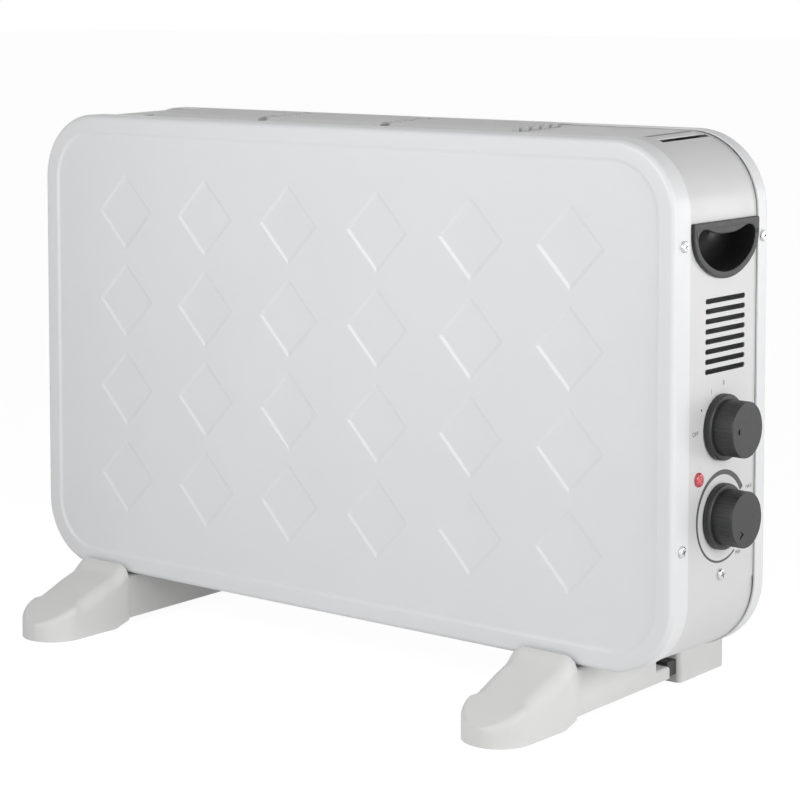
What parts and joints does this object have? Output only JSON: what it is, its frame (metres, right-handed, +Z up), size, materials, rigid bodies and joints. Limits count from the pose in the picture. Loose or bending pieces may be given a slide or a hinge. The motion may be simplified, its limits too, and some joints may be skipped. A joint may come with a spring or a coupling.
{
  "type": "electric panel heater",
  "caption": "Free-standing electric panel heater with pressed white covers, side controls, recessed handles and moulded feet.",
  "frame": {"origin": "on the floor under the middle of the whole part's bounding box", "axes": "+X towards the control end, +Y from the patterned front towards the back, +Z up from the floor"},
  "size_m": [0.6055, 0.266, 0.397],
  "materials": {
    "cover_paint": "smooth white powder coat, semi-gloss",
    "band_paint": "silver-white paint, satin",
    "foot_plastic": "light grey-white moulding, fine grain",
    "dark_plastic": "dark grey moulding, satin",
    "screw_steel": "bright zinc plated",
    "shaft_metal": "turned steel",
    "sheet_steel": "galvanised sheet",
    "switch_plastic": "black heat-resistant plastic",
    "terminal_plastic": "natural nylon",
    "lens_red": "clear red lens",
    "fin_aluminium": "extruded aluminium",
    "insulator_ceramic": "unglazed steatite"
  },
  "bodies": {
    "casing": {"front_panel": "cover_paint", "rear_panel": "cover_paint", "casing_wrap": "band_paint", "base_pan": "band_paint", "outlet_grille": "band_paint", "left_foot": "foot_plastic", "right_foot": "foot_plastic", "handle_cup_right": "dark_plastic", "handle_cup_left": "dark_plastic", "cord_gland": "dark_plastic", "front_flange_screws": "screw_steel", "rear_flange_screws": "screw_steel", "plate_screws": "screw_steel", "foot_screws": "screw_steel", "heat_shield": "sheet_steel", "element_bracket": "sheet_steel", "thermal_cutout": "sheet_steel", "selector_switch": "switch_plastic", "thermostat": "switch_plastic", "indicator_holder": "switch_plastic", "terminal_block": "terminal_plastic", "indicator_lens": "lens_red", "element_lower": "fin_aluminium", "element_upper": "fin_aluminium", "element_insulators": "insulator_ceramic"},
    "selector_body": {"selector_knob": "dark_plastic", "selector_shaft": "shaft_metal"},
    "thermostat_body": {"thermostat_knob": "dark_plastic", "thermostat_shaft": "shaft_metal"}
  },
  "joints": [
    {"name": "selector_turn", "type": "hinge", "parent": "casing", "child": "selector_body", "pos_m": [0.28188, 0.0065, 0.2015], "axis": [-0.9998, 0.0207, 0], "range_deg": [0, 105]},
    {"name": "thermostat_turn", "type": "hinge", "parent": "casing", "child": "thermostat_body", "pos_m": [0.28188, 0.0065, 0.1415], "axis": [-0.9998, 0.0207, 0], "range_deg": [-69, 203]}
  ]
}
